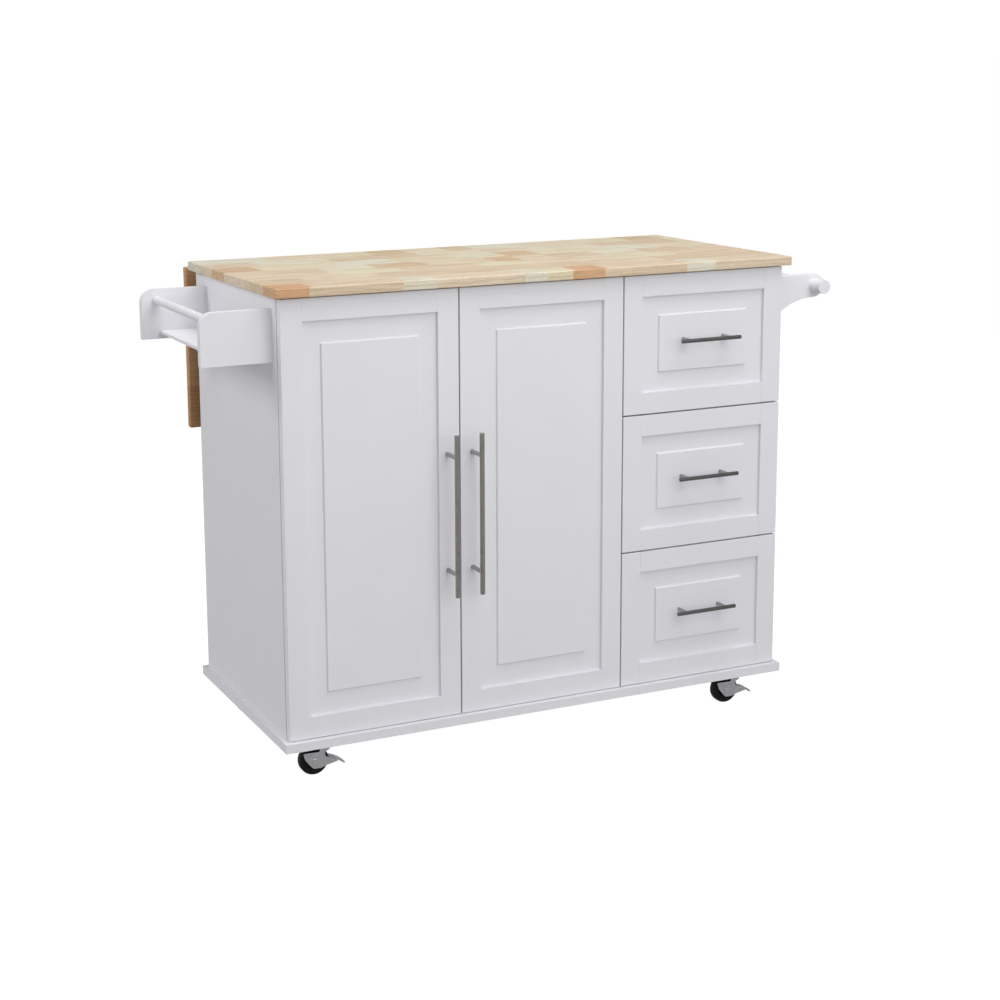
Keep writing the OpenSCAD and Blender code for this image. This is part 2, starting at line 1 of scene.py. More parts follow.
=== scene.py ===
"""The looks of a kitchen island cart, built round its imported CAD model.

Lengths are in metres. The cart faces -Y, +X is to the right when facing the doors, and the floor is z = 0.
"""

import math
import random

import bmesh
import bpy
from mathutils import Matrix, Vector
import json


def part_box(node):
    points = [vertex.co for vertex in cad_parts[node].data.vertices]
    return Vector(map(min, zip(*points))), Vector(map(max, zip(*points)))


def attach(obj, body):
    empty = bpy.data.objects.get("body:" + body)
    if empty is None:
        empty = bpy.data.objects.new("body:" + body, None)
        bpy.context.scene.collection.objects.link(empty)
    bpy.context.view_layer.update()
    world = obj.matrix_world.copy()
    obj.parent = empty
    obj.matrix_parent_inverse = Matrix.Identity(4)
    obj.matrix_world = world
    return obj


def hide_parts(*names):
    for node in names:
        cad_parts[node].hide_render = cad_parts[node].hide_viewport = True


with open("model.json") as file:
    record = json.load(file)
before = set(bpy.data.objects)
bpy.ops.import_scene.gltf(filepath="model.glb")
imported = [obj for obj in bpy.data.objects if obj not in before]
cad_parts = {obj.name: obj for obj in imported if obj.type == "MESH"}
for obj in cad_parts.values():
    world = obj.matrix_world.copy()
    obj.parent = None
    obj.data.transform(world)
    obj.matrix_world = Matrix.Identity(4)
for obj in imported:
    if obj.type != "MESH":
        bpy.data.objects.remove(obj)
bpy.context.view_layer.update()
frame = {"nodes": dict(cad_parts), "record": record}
nodes = frame["nodes"]
MM = 0.001
SIDES = ("left", "right")
CORNERS = ("front_left", "front_right", "back_left", "back_right")

# --- camera and stage ---

CAMERA_PLACE = (-1.6469, -3.3454, 1.3485)
CAMERA_PAN, CAMERA_TILT, CAMERA_ROLL = -24.04, 90 - 10.57, -0.62
LENS, LENS_SHIFT = 66.83, (0.08, -0.10)
FLOOR_HALF = 400
LIGHT_TARGET = Vector((0, 0, 0.5))

# Strengths of the floor's own glow, the horizon's band, the room above it and the light from below
FLOOR_GLOW = 0.93
HORIZON_LIGHT = 1.02
ROOM_LIGHT = 0.26
BOUNCE_LIGHT = 0.4


def make_camera():
    """The view from the left and a little above, through a long lens."""
    data = bpy.data.cameras.new("camera")
    data.sensor_width = 36
    data.lens = LENS
    data.shift_x, data.shift_y = LENS_SHIFT
    data.clip_end = 1000
    camera = bpy.data.objects.new("camera", data)
    bpy.context.scene.collection.objects.link(camera)
    pan = Matrix.Rotation(math.radians(CAMERA_PAN), 4, "Z")
    tilt = Matrix.Rotation(math.radians(CAMERA_TILT), 4, "X")
    roll = Matrix.Rotation(math.radians(CAMERA_ROLL), 4, "Z")
    camera.matrix_world = Matrix.Translation(CAMERA_PLACE) @ pan @ tilt @ roll
    bpy.context.scene.camera = camera


def make_floor():
    """A wide pale floor that glows a little, as a lit studio sweep does."""
    half = FLOOR_HALF
    corners = [(-half, -half, 0), (half, -half, 0), (half, half, 0), (-half, half, 0)]
    mesh = bpy.data.meshes.new("floor")
    mesh.from_pydata(corners, [], [(0, 1, 2, 3)])
    mat, _, shader = material("studio_floor", Roughness=0.9)
    shader.inputs["Base Color"].default_value = (0.2, 0.2, 0.2, 1)
    shader.inputs["Emission Color"].default_value = (1, 1, 1, 1)
    shader.inputs["Emission Strength"].default_value = FLOOR_GLOW
    mesh.materials.append(mat)
    floor = bpy.data.objects.new("studio_floor", mesh)
    bpy.context.scene.collection.objects.link(floor)
    # The world's lower half lights the cart from below in the floor's place, because the floor itself glows.
    floor.visible_diffuse = False
    floor.visible_glossy = False


def make_world():
    """A dim room with a white band all round its horizon, over a floor of medium brightness."""
    world = bpy.data.worlds.new("studio")
    bpy.context.scene.world = world
    world.use_nodes = True
    tree = world.node_tree
    way = add(tree, "ShaderNodeTexCoord").outputs["Generated"]
    height = add(tree, "ShaderNodeSeparateXYZ", {"Vector": way}).outputs["Z"]
    background = tree.nodes["Background"]
    background.inputs["Color"].default_value = (1, 1, 1, 1)
    above = mapped(tree, height, 0.05, 0.2, HORIZON_LIGHT, ROOM_LIGHT)
    below = mapped(tree, height, -0.06, -0.02, BOUNCE_LIGHT - HORIZON_LIGHT, 0)
    tree.links.new(math_of(tree, "ADD", above, below), background.inputs["Strength"])


def softbox(name, place, size, watts):
    """A square area light at place, turned to the middle of the cart."""
    data = bpy.data.lights.new(name, "AREA")
    data.size = size
    data.energy = watts
    light = bpy.data.objects.new(name, data)
    bpy.context.scene.collection.objects.link(light)
    light.location = place
    light.rotation_euler = (LIGHT_TARGET - Vector(place)).to_track_quat("-Z", "Y").to_euler()


# --- material helpers ---


def material(name, **sockets):
    """A material with one Principled shader, whose sockets take the given constants."""
    mat = bpy.data.materials.new(name)
    mat.use_nodes = True
    tree = mat.node_tree
    shader = tree.nodes["Principled BSDF"]
    for socket, value in sockets.items():
        shader.inputs[socket.replace("_", " ")].default_value = value
    return mat, tree, shader


def add(tree, kind, sockets=(), **settings):
    """A new node; sockets maps its inputs to constants or to other nodes' outputs."""
    made = tree.nodes.new(kind)
    for key, value in settings.items():
        setattr(made, key, value)
    for key, value in dict(sockets).items():
        if isinstance(value, bpy.types.NodeSocket):
            tree.links.new(value, made.inputs[key])
        else:
            made.inputs[key].default_value = value
    return made


def object_place(tree):
    """A point's place in its object."""
    return add(tree, "ShaderNodeTexCoord").outputs["Object"]


def stretched(tree, vector, scale):
    """A vector scaled along each axis."""
    return add(tree, "ShaderNodeMapping", {"Vector": vector, "Scale": scale}).outputs["Vector"]


def noise(tree, vector, scale, detail=2, roughness=0.5):
    """Fractal noise from 0 to 1."""
    sockets = {"Vector": vector, "Scale": scale, "Detail": detail, "Roughness": roughness}
    return add(tree, "ShaderNodeTexNoise", sockets).outputs["Fac"]


def mapped(tree, value, low, high, to_low, to_high):
    """A value's range moved to another range, clamped."""
    sockets = {"Value": value, "From Min": low, "From Max": high, "To Min": to_low, "To Max": to_high}
    return add(tree, "ShaderNodeMapRange", sockets).outputs["Result"]


def blended(tree, factor, a, b, mode="MIX"):
    """Two colours mixed by a factor."""
    factor_input, a_input, b_input, colour_output = 0, 6, 7, 2
    sockets = {factor_input: factor, a_input: a, b_input: b}
    return add(tree, "ShaderNodeMix", sockets, data_type="RGBA", blend_type=mode).outputs[colour_output]


def math_of(tree, operation, a, b):
    """One arithmetic step on two values."""
    return add(tree, "ShaderNodeMath", {0: a, 1: b}, operation=operation).outputs[0]


def vector_math(tree, operation, a, b):
    """One arithmetic step on two vectors."""
    return add(tree, "ShaderNodeVectorMath", {0: a, 1: b}, operation=operation).outputs[0]


def bumped(tree, shader, height, distance):
    """Links a height, in units of distance, to the shader's normal."""
    bump = add(tree, "ShaderNodeBump", {"Height": height, "Distance": distance, "Strength": 1.0})
    tree.links.new(bump.outputs["Normal"], shader.inputs["Normal"])


# --- materials ---

# Varnished rubberwood from the palest stave to the darkest, as linear colours
TONES = (
    (0.0, (0.75, 0.725, 0.62)),
    (0.2, (0.76, 0.69, 0.50)),
    (0.4, (0.76, 0.64, 0.50)),
    (0.6, (0.67, 0.53, 0.36)),
    (0.8, (0.67, 0.40, 0.225)),
    (1.0, (0.46, 0.25, 0.115)),
)
PALE, STRAW, ROSY, TAN, RED, BROWN = (at for at, colour in TONES)


def painted_board(name, light, dark, roughness):
    """Sprayed satin paint: a faint orange peel and a very slight cloudiness of tone and gloss."""
    mat, tree, shader = material(name, IOR=1.45, Specular_IOR_Level=0.35)
    place = object_place(tree)
    tone = mapped(tree, noise(tree, place, 9, 3), 0.35, 0.65, 0, 1)
    tree.links.new(blended(tree, tone, (*dark, 1), (*light, 1)), shader.inputs["Base Color"])
    smudge = noise(tree, place, 35, 3)
    gloss = mapped(tree, smudge, 0.3, 0.7, roughness - 0.05, roughness + 0.05)
    tree.links.new(gloss, shader.inputs["Roughness"])
    peel = noise(tree, place, 650, 2, 0.4)
    wave = noise(tree, place, 60, 1)
    height = math_of(tree, "ADD", peel, math_of(tree, "MULTIPLY", wave, 1.5))
    bumped(tree, shader, height, 0.04 * MM)
    return mat


def rubberwood():
    """Varnished rubberwood staves: growth rings round a pith of each stave's own, fibres and short pores."""
    mat, tree, shader = material("varnished_rubberwood", IOR=1.45)
    tone = add(tree, "ShaderNodeAttribute", attribute_name="stave_tone").outputs["Fac"]
    shift = add(tree, "ShaderNodeAttribute", attribute_name="stave_shift").outputs["Vector"]
    own = vector_math(tree, "ADD", object_place(tree), shift)
    base = stave_colour(tree, tone)

    # Rings: the distance from the stave's pith line, bent slowly along the grain.
    bend = noise(tree, stretched(tree, own, (4, 14, 14)), 1, 3)
    bent = vector_math(tree, "ADD", own, vector_math(tree, "MULTIPLY", bend, (0, 0.05, 0.05)))
    sockets = {"Vector": bent, "Scale": 38, "Distortion": 1.2, "Detail": 2, "Detail Scale": 6}
    rings = add(tree, "ShaderNodeTexWave", sockets, wave_type="RINGS", rings_direction="X").outputs["Fac"]
    latewood = mapped(tree, rings, 0.35, 1, 0, 0.5)
    streak = noise(tree, stretched(tree, own, (5, 160, 160)), 1, 3, 0.6)
    fibre = noise(tree, stretched(tree, own, (28, 1500, 1500)), 1, 2)
    pores = mapped(tree, noise(tree, stretched(tree, own, (110, 1300, 1300)), 1, 1), 0.64, 0.72, 0, 1)

    patch = noise(tree, stretched(tree, own, (14, 45, 45)), 1, 2)
    tanned = blended(tree, 1.0, base, (0.9, 0.86, 0.74, 1), "MULTIPLY")
    base = blended(tree, mapped(tree, patch, 0.4, 0.7, 0, 0.45), base, tanned)
    darker = blended(tree, 1.0, base, (0.70, 0.60, 0.45, 1), "MULTIPLY")
    grain = math_of(tree, "ADD", latewood, mapped(tree, streak, 0.4, 0.75, -0.25, 0.6))
    colour = blended(tree, mapped(tree, grain, 0, 1, 0, 0.8), base, darker)
    colour = blended(tree, mapped(tree, fibre, 0.35, 0.7, 0, 0.2), colour, darker)
    colour = blended(tree, math_of(tree, "MULTIPLY", pores, 0.5), colour, (0.3, 0.18, 0.09, 1))
    tree.links.new(colour, shader.inputs["Base Color"])
    tree.links.new(mapped(tree, streak, 0.3, 0.7, 0.36, 0.46), shader.inputs["Roughness"])
    height = math_of(tree, "SUBTRACT", math_of(tree, "MULTIPLY", fibre, 0.35), pores)
    bumped(tree, shader, height, 0.06 * MM)
    return mat


def stave_colour(tree, tone):
    """The colour of a stave's tone, from TONES."""
    ramp = add(tree, "ShaderNodeValToRGB", {"Fac": tone})
    stops = ramp.color_ramp.elements
    for at, colour in TONES:
        if at == 0:
            stop = stops[0]
        elif at == 1:
            stop = stops[-1]
        else:
            stop = stops.new(at)
        stop.color = (*colour, 1)
    return ramp.outputs["Color"]


def brushed_metal(name, colour, roughness, across):
    """Metal brushed with fine lines; across is the scale of the lines along each axis."""
    mat, tree, shader = material(name, Metallic=1.0)
    place = object_place(tree)
    lines = noise(tree, stretched(tree, place, across), 1, 3, 0.6)
    dim = tuple(0.9 * c for c in colour)
    shade = blended(tree, mapped(tree, lines, 0.3, 0.7, 0, 1), (*dim, 1), (*colour, 1))
    tree.links.new(shade, shader.inputs["Base Color"])
    fine = mapped(tree, lines, 0.3, 0.7, -0.05, 0.06)
    cloud = mapped(tree, noise(tree, place, 30, 2), 0.3, 0.7, roughness - 0.03, roughness + 0.03)
    tree.links.new(math_of(tree, "ADD", fine, cloud), shader.inputs["Roughness"])
    bumped(tree, shader, lines, 0.006 * MM)
    return mat


def zinc_plate(name, colour, roughness):
    """Zinc-plated pressed steel: a faint crystalline mottling and dull patches."""
    mat, tree, shader = material(name, Metallic=1.0)
    place = object_place(tree)
    cells = add(tree, "ShaderNodeTexVoronoi", {"Vector": place, "Scale": 260}).outputs["Color"]
    grey = add(tree, "ShaderNodeSeparateColor", {"Color": cells}).outputs["Red"]
    dim = tuple(0.86 * c for c in colour)
    tree.links.new(blended(tree, grey, (*dim, 1), (*colour, 1)), shader.inputs["Base Color"])
    gloss = mapped(tree, noise(tree, place, 90, 3), 0.3, 0.7, roughness - 0.07, roughness + 0.09)
    tree.links.new(gloss, shader.inputs["Roughness"])
    bumped(tree, shader, noise(tree, place, 900, 2), 0.02 * MM)
    return mat


def moulded_black():
    """Black moulded plastic with a fine texture and dulled patches."""
    mat, tree, shader = material("moulded_black", IOR=1.4, Specular_IOR_Level=0.25)
    place = object_place(tree)
    scuff = noise(tree, place, 120, 4, 0.6)
    worn = mapped(tree, scuff, 0.45, 0.7, 0, 1)
    shade = blended(tree, worn, (0.004, 0.0045, 0.005, 1), (0.013, 0.013, 0.014, 1))
    tree.links.new(shade, shader.inputs["Base Color"])
    tree.links.new(mapped(tree, scuff, 0.3, 0.7, 0.34, 0.55), shader.inputs["Roughness"])
    bumped(tree, shader, noise(tree, place, 1500, 2), 0.05 * MM)
    return mat


# --- edges, and CAD nodes ---


def ease_edges(piece, radius, segments, angle):
    """Rounds edges sharper than an angle by a radius, and evens the shading of the large faces."""
    if radius:
        bevel = piece.modifiers.new("eased_edges", "BEVEL")
        bevel.width = radius
        bevel.segments = segments
        bevel.limit_method = "ANGLE"
        bevel.angle_limit = math.radians(angle)
    normals = piece.modifiers.new("even_normals", "WEIGHTED_NORMAL")
    normals.keep_sharp = False
    normals.weight = 100


def dress(name, mat, ease=0.0, segments=3):
    """Gives a CAD node its material and, where ease isn't 0, edges eased by that radius."""
    piece = nodes[name]
    piece.data.materials.clear()
    piece.data.materials.append(mat)
    if ease:
        weld = piece.modifiers.new("weld", "WELD")
        weld.merge_threshold = 0.01 * MM
        ease_edges(piece, ease, segments, 30)
    for face in piece.data.polygons:
        face.use_smooth = True


# --- outlines and solids ---


def in_mm(points):
    """Points given in millimetres."""
    return [tuple(a * MM for a in point) for point in points]


def arc(centre, radius, start, end, steps):
    """Points of an arc between two angles in degrees."""
    angles = [math.radians(start + (end - start) * k / steps) for k in range(steps + 1)]
    return [(centre[0] + radius * math.cos(a), centre[1] + radius * math.sin(a)) for a in angles]


def rounded(corners, steps=6):
    """An outline whose corners (u, v, radius) are rounded."""
    outline = []
    for k, (u, v, radius) in enumerate(corners):
        here = Vector((u, v))
        if not radius:
            outline.append((u, v))
            continue
        before = Vector(corners[k - 1][:2]) - here
        after = Vector(corners[(k + 1) % len(corners)][:2]) - here
        half = before.angle(after) / 2
        reach = min(radius / math.tan(half), 0.49 * before.length, 0.49 * after.length)
        a = here + before.normalized() * reach
        b = here + after.normalized() * reach
        middle = here + (before.normalized() + after.normalized()).normalized() * (reach / math.cos(half))
        start = a - middle
        turn = start.angle_signed(b - middle)
        for step in range(steps + 1):
            outline.append(tuple(middle + Matrix.Rotation(-turn * step / steps, 2) @ start))
    return outline


def rectangle(x0, x1, y0, y1, left_r, right_r):
    """A rectangle with one radius for its left corners and another for its right ones."""
    return rounded([(x0, y0, left_r), (x1, y0, right_r), (x1, y1, right_r), (x0, y1, left_r)])


def side_view(corners, at):
    """A rounded outline in X and Z, from corners (right, up, radius) in millimetres from a point."""
    return [(at.x + u, at.z + v) for u, v in rounded(in_mm(corners))]


def upright(u, v, depth):
    """The place of a point of an outline drawn in X and Z, at a depth along Y."""
    return (u, depth, v)


def lying(u, v, height):
    """The place of a point of an outline drawn in X and Y, at a height."""
    return (u, v, height)


def prism(mesh, outline, to_frame, near, far):
    """Adds a solid with an outline (u, v) between two depths. to_frame turns (u, v, depth) into a place."""
    low = [mesh.verts.new(to_frame(u, v, near)) for u, v in outline]
    high = [mesh.verts.new(to_frame(u, v, far)) for u, v in outline]
    mesh.faces.new(low)
    mesh.faces.new(high[::-1])
    skirt(mesh, low, high)


def skirt(mesh, low, high):
    """Adds the faces between two closed rows of as many vertices."""
    for k in range(len(low)):
        j = (k + 1) % len(low)
        mesh.faces.new([low[k], low[j], high[j], high[k]])


def ring_of(radius, along, axis, centre, segments):
    """Points of a circle round an axis, at a distance along it."""
    axis = Vector(axis)
    side = axis.orthogonal().normalized()
    up = axis.cross(side)
    turns = (2 * math.pi * k / segments for k in range(segments))
    return [Vector(centre) + axis * along + radius * (side * math.cos(t) + up * math.sin(t)) for t in turns]


def lathe(mesh, profile, centre, axis, segments=48, loop=False):
    """Adds a turned solid and returns its rings. The profile is (radius, along) pairs from end to end."""
    rings = []
    for radius, along in profile:
        if radius:
            rings.append([mesh.verts.new(p) for p in ring_of(radius, along, axis, centre, segments)])
        else:
            rings.append([mesh.verts.new(Vector(centre) + Vector(axis) * along)])
    pairs = list(zip(rings, rings[1:]))
    if loop:
        pairs.append((rings[-1], rings[0]))
    for a, b in pairs:
        for k in range(segments):
            k2 = (k + 1) % segments
            ends = [a[k % len(a)], a[k2 % len(a)], b[k2 % len(b)], b[k % len(b)]]
            mesh.faces.new(list(dict.fromkeys(ends)))
    return rings


def piece_of(name, mesh, mat, body, ease=0.0, segments=3, angle=30):
    """Turns a built mesh into a piece that rides on a body, its edges eased by a radius."""
    bmesh.ops.recalc_face_normals(mesh, faces=mesh.faces)
    for face in mesh.faces:
        face.smooth = True
    data = bpy.data.meshes.new(name)
    mesh.to_mesh(data)
    mesh.free()
    data.materials.append(mat)
    piece = bpy.data.objects.new(name, data)
    bpy.context.scene.collection.objects.link(piece)
    ease_edges(piece, ease, segments, angle)
    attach(piece, body)
    return piece


# --- panels, handles and brackets ---

# A panel's tongue in the frame's groove, the cove round its recess, and its raised field
TONGUE = 3.5 * MM
COVE = 1.5 * MM
FIELD_BEVEL = 1.5 * MM
FIELD_HEIGHT = 4.5 * MM
# The recess between frame and field, across and up
FIELD_MARGINS = {"door": (36 * MM, 42 * MM), "drawer": (38 * MM, 38 * MM)}

# A handle's rounded rim, its widest post and the collar at the post's foot, and the screw head behind it
BAR_RIM = 0.9 * MM
POST_R = 4.5 * MM
POST_FLARE = 0.35 * MM
HANDLE_SCREW = ((0, 0), (4, 0), (4, 0.9), (3.2, 1.8), (1.2, 2), (0.8, 1.3), (0, 1.3))

BRACKET_BOARD = 15 * MM
BRACKET_NOSE_R = 24 * MM


def make_panel(name, body, mat):
    """A panel with a raised field, whose tongue is hidden in the frame."""
    low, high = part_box(name)
    margin_x, margin_z = FIELD_MARGINS[body.split("_")[0]]
    x0, x1 = low.x + TONGUE, high.x - TONGUE
    z0, z1 = low.z + TONGUE, high.z - TONGUE
    recess = low.y + FIELD_HEIGHT
    mesh = bmesh.new()

    def ring(inset_x, inset_z, y):
        left, right = x0 + inset_x, x1 - inset_x
        bottom, top = z0 + inset_z, z1 - inset_z
        corners = ((left, bottom), (right, bottom), (right, top), (left, top))
        return [mesh.verts.new((x, y, z)) for x, z in corners]

    rings = [
        ring(0, 0, high.y),
        ring(0, 0, recess - COVE),
        ring(COVE, COVE, recess - COVE / 4),
        ring(2 * COVE, 2 * COVE, recess),
        ring(margin_x, margin_z, recess),
        ring(margin_x + FIELD_BEVEL, margin_z + FIELD_BEVEL, low.y),
    ]
    mesh.faces.new(rings[0])
    mesh.faces.new(rings[-1])
    for a, b in zip(rings, rings[1:]):
        skirt(mesh, a, b)
    piece = piece_of(name + "_board", mesh, mat, body, 1.0 * MM)
    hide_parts(name)


def make_handle(name, body, mat, post_mat, along, spacing, bar_d, seat):
    """A bar with rounded rims on two posts that stand on seat, with the screws that hold it from behind."""
    low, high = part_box(name)
    length = (high - low)[along]
    axis = Vector((0, 0, 0))
    axis[along] = 1
    radius = bar_d / 2
    middle = (low + high) / 2
    middle.y = low.y + radius
    inner = radius - BAR_RIM
    turns = (0, 0.4, 0.8, 1.2, math.pi / 2)
    rim = [(inner + BAR_RIM * math.sin(a), BAR_RIM - BAR_RIM * math.cos(a)) for a in turns]
    bar = bmesh.new()
    profile = [(0, 0)] + rim + [(r, length - h) for r, h in rim[::-1]] + [(0, length)]
    lathe(bar, profile, middle - axis * length / 2, axis, 40)
    piece = piece_of(name + "_bar", bar, mat, body)
    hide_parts(name)

    posts = bmesh.new()
    depth = seat - middle.y
    post_r = min(POST_R, radius - 0.5 * MM)
    foot_r = post_r + POST_FLARE
    post = [(0, 0), (post_r, 0), (post_r, depth - 0.6 * MM), (foot_r, depth - 0.15 * MM)]
    post += [(foot_r, depth), (0, depth)]
    for way in (-1, 1):
        start = middle + axis * way * spacing / 2
        lathe(posts, post, start, (0, 1, 0), 32)
        lathe(posts, in_mm(HANDLE_SCREW), (start.x, high.y - 2 * MM, start.z), (0, 1, 0), 24)
    piece_of(name + "_posts", posts, post_mat, body)


def make_brackets(mat):
    """The two towel brackets: a round nose and a hollow underside that sweeps down to the cabinet."""
    low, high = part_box("towel_brackets")
    nose = (high.x - BRACKET_NOSE_R, high.z - BRACKET_NOSE_R)
    drop = nose[1] - BRACKET_NOSE_R - low.z
    reach = nose[0] - low.x
    sweep_r = (reach * reach + drop * drop) / (2 * drop)
    sweep = (nose[0], nose[1] - BRACKET_NOSE_R - sweep_r)
    foot_angle = 180 - math.degrees(math.atan2(sweep_r - drop, reach))
    outline = [(low.x, low.z)]
    outline += arc(sweep, sweep_r, foot_angle, 90, 24)[1:-1]
    outline += arc(nose, BRACKET_NOSE_R, -90, 90, 32)
    outline.append((low.x, high.z))
    mesh = bmesh.new()
    for near in (low.y, high.y - BRACKET_BOARD):
        prism(mesh, outline, upright, near, near + BRACKET_BOARD)
    piece = piece_of("towel_bracket_boards", mesh, mat, "cabinet", 1.6 * MM, 3, 40)
    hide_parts("towel_brackets")


# --- casters ---

# How far the swivel's axis is from the wheel's, and the fork's sheet and its clear half width
TRAIL = 12 * MM
FORK_SHEET = 2 * MM
FORK_INNER = 12 * MM
PLATE_HALF = 22 * MM
PLATE_SHEET = 2.5 * MM
PLATE_HOLES = 16 * MM
PEDAL_BARREL_R = 3.5 * MM
# The pin of the brake pedal, from the wheel's axle
PEDAL_PIN = Vector((34 * MM, 0, -2 * MM))

# Outlines and sections in millimetres. A wheel's section goes from hub to tread: (radius, half width).
WHEEL_SIDE = (
    (4.1, 10.0), (8.0, 10.0), (8.8, 9.3), (9.3, 7.0), (17.6, 7.0), (18.3, 9.0),
    (19.0, 9.6), (20.6, 9.6), (21.0, 8.8), (21.5, 8.8), (21.9, 9.6), (24.4, 9.8),
    (26.8, 9.2), (28.1, 7.9), (28.8, 5.9), (29.0, 3.0), (29.0, 0.0),
)
# A rib of the wheel's web, and where it stands along the axle
WHEEL_RIB = ((9.0, -0.8), (18.0, -0.8), (18.0, 0.8), (9.0, 0.8))
WHEEL_RIB_SPANS = ((-8.8, -6.8), (6.8, 8.8))
# A fork's side seen from the front: (right of the axle, above the axle, corner radius)
FORK_SIDE = (
    (-24.0, 18.0, 3.0), (9.0, 17.5, 3.0), (12.0, 36.0, 0.0), (30.0, 36.0, 0.0),
    (29.5, 20.0, 1.5), (19.5, 16.0, 3.0), (21.0, 6.0, 3.0), (36.0, 1.0, 4.0),
    (46.0, -4.0, 1.5), (46.0, -6.5, 1.0), (38.0, -8.0, 4.0), (22.0, -11.5, 6.0),
    (11.0, -15.0, 6.0), (-4.0, -14.5, 7.0), (-13.0, -4.5, 6.0), (-20.5, 5.0, 8.0),
)
# A pedal's side, the same way from its pin
PEDAL_SIDE = (
    (0, 3.3, 0), (8, 2.5, 6), (14.5, -0.5, 6), (21, -4.5, 6), (29, -11, 0.8),
    (27.5, -14, 0.8), (19.5, -8.5, 6), (13, -4.5, 6), (7, -2, 6), (0, -3.3, 0),
)
# Turned parts: (radius, height)
AXLE_HEAD = ((0, 0.5), (1.6, 0.5), (2.3, 1.35), (4.2, 1.5), (5.6, 0.9), (6.0, 0.0), (6.0, -0.2), (0, -0.2))
PEDAL_RIVET = ((0, 0.8), (1.6, 0.7), (2.4, 0.0), (2.4, -0.2), (0, -0.2))
BALL_RACE = ((0, 0.4), (10.8, 0.4), (12.2, 0.9), (13.0, 1.8), (12.6, 2.5), (13.4, 3.0), (13.4, 3.6), (0, 3.6))
KINGPIN = (
    (0, -3.3), (2.6, -3.3), (3.4, -2.9), (6.3, -2.8), (6.5, -2.2),
    (6.2, -2.05), (3.9, -2.05), (3.9, 1), (0, 1),
)


def axle_of(corner):
    """The middle of a wheel."""
    low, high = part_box("wheel_" + corner)
    return (low + high) / 2


def make_wheel(corner, mat):
    """A wheel with a rounded tyre, a groove round its core and a ribbed, sunk web."""
    name = "wheel_" + corner
    centre = axle_of(corner)
    section = in_mm(WHEEL_SIDE)
    section += [(r, -y) for r, y in section[-2::-1]]
    mesh = bmesh.new()
    lathe(mesh, section, centre, (0, 1, 0), 72, True)
    for k in range(8):
        turn = Matrix.Rotation(math.pi * k / 4, 2)
        rib = [turn @ Vector(p) for p in in_mm(WHEEL_RIB)]
        rib = [(centre.x + p.x, centre.z + p.y) for p in rib]
        for near, far in in_mm(WHEEL_RIB_SPANS):
            prism(mesh, rib, upright, centre.y + near, centre.y + far)
    piece = piece_of(name + "_tyre", mesh, mat, name, 0.25 * MM, 2)
    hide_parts(name)


def make_fork(corner, mat):
    """A pressed-steel fork: two sides under a crown, a riveted axle, and a pedal's pin on the front ones."""
    name = "caster_fork_" + corner
    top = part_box(name)[1].z
    axle = axle_of(corner)
    mesh = bmesh.new()
    side = side_view(FORK_SIDE, axle)
    for near in (axle.y - FORK_INNER - FORK_SHEET, axle.y + FORK_INNER):
        prism(mesh, side, upright, near, near + FORK_SHEET)
    stem = axle.x + TRAIL
    half = FORK_INNER + FORK_SHEET / 2
    crown = rectangle(stem - 16 * MM, stem + 17.5 * MM, axle.y - half, axle.y + half, 5 * MM, 1 * MM)
    prism(mesh, crown, lying, top - FORK_SHEET, top)
    add_pin(mesh, axle, 4 * MM, 24, AXLE_HEAD, 32)
    if corner.startswith("front"):
        add_pin(mesh, axle + PEDAL_PIN, 2 * MM, 16, PEDAL_RIVET, 24)
    piece = piece_of(name + "_pressing", mesh, mat, "fork_" + corner, 0.5 * MM, 2)
    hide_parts(name)


def add_pin(mesh, place, radius, segments, head, head_segments):
    """Adds a pin between the sides of a fork, with a head outside each."""
    for way in (-1, 1):
        spot = place + Vector((0, way * (FORK_INNER + FORK_SHEET), 0))
        lathe(mesh, in_mm(head), spot, (0, way, 0), head_segments)
    shank = [(0, -FORK_INNER), (radius, -FORK_INNER), (radius, FORK_INNER), (0, FORK_INNER)]
    lathe(mesh, shank, place, (0, 1, 0), segments)


def make_pedal(side, mat):
    """A brake pedal: a curved tongue with a turned-down toe, on a barrel."""
    name = "brake_pedal_" + side
    low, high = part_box(name)
    pin = axle_of("front_" + side) + PEDAL_PIN
    depth = high.y - low.y
    mesh = bmesh.new()
    prism(mesh, side_view(PEDAL_SIDE, pin), upright, low.y, high.y)
    barrel = [(0, 0), (PEDAL_BARREL_R, 0), (PEDAL_BARREL_R, depth), (0, depth)]
    lathe(mesh, barrel, (pin.x, low.y, pin.z), (0, 1, 0), 32)
    piece = piece_of(name + "_tongue", mesh, mat, name, 0.5 * MM, 2)
    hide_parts(name)


def make_caster_plates(mat):
    """The plates under the base board, each with a ball race, a riveted kingpin and four screws."""
    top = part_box("caster_plates")[1].z
    under = top - PLATE_SHEET
    plates = bmesh.new()
    screw_places = []
    for corner in CORNERS:
        axle = axle_of(corner)
        x, y = axle.x + TRAIL, axle.y
        plate = rectangle(x - PLATE_HALF, x + PLATE_HALF, y - PLATE_HALF, y + PLATE_HALF, 4 * MM, 4 * MM)
        prism(plates, plate, lying, under, top)
        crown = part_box("caster_fork_" + corner)[1].z
        lathe(plates, in_mm(BALL_RACE), (x, y, crown), (0, 0, 1), 48)
        lathe(plates, in_mm(KINGPIN), (x, y, crown), (0, 0, 1), 32)
        screw_places += grid((x - PLATE_HOLES, x + PLATE_HOLES), (y - PLATE_HOLES, y + PLATE_HOLES), [under])
    piece = piece_of("caster_plate_pressings", plates, mat, "cabinet", 0.35 * MM, 2)
    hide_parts("caster_plates")
    piece = screws("caster_screw_heads", screw_places, (0, 0, -1), mat, "cabinet")
    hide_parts("caster_screws")


# --- screws ---

